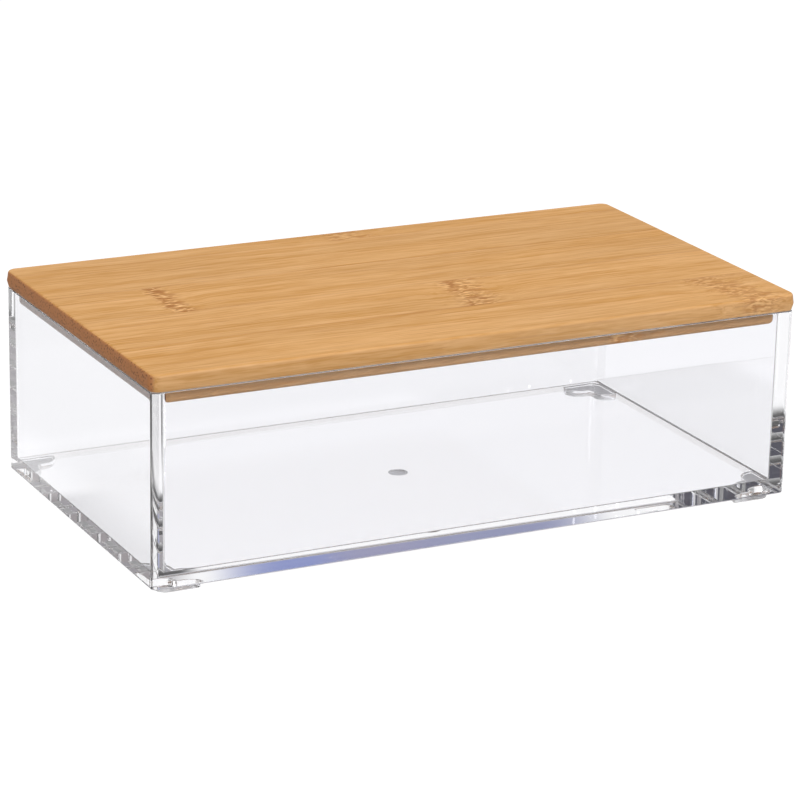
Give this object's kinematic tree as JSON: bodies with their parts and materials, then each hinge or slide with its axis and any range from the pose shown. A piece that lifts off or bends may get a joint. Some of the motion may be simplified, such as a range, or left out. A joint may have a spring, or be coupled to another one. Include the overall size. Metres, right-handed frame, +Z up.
{
  "type": "storage box with lid",
  "caption": "Low rectangular clear plastic box on small L-shaped feet, with a loose bamboo strip lid that drops into its rim.",
  "frame": {"origin": "under the middle of the box, on the surface that the feet stand on", "axes": "+X along the box's length, +Z up, the way the lid lifts; -Y faces the front"},
  "size_m": [0.1916, 0.1066, 0.06],
  "materials": {
    "clear_plastic": "polished, crystal clear, colourless",
    "bamboo_board": "warm honey bamboo, sanded and thinly lacquered",
    "bamboo_panel": "bamboo, sanded, thinly lacquered"
  },
  "bodies": {
    "box": {"clear_box": "clear_plastic"},
    "lid": {"lid_board_strip_1": "bamboo_board", "lid_board_strip_2": "bamboo_board", "lid_board_strip_3": "bamboo_board", "lid_board_strip_4": "bamboo_board", "lid_board_strip_5": "bamboo_board", "lid_panel_strip_1": "bamboo_panel", "lid_panel_strip_2": "bamboo_panel", "lid_panel_strip_3": "bamboo_panel", "lid_panel_strip_4": "bamboo_panel", "lid_panel_strip_5": "bamboo_panel"}
  },
  "joints": [
    {"name": "lid_lift", "type": "slide", "parent": "box", "child": "lid", "axis": [0, 0, 1], "range_m": [0, 0.12]}
  ]
}
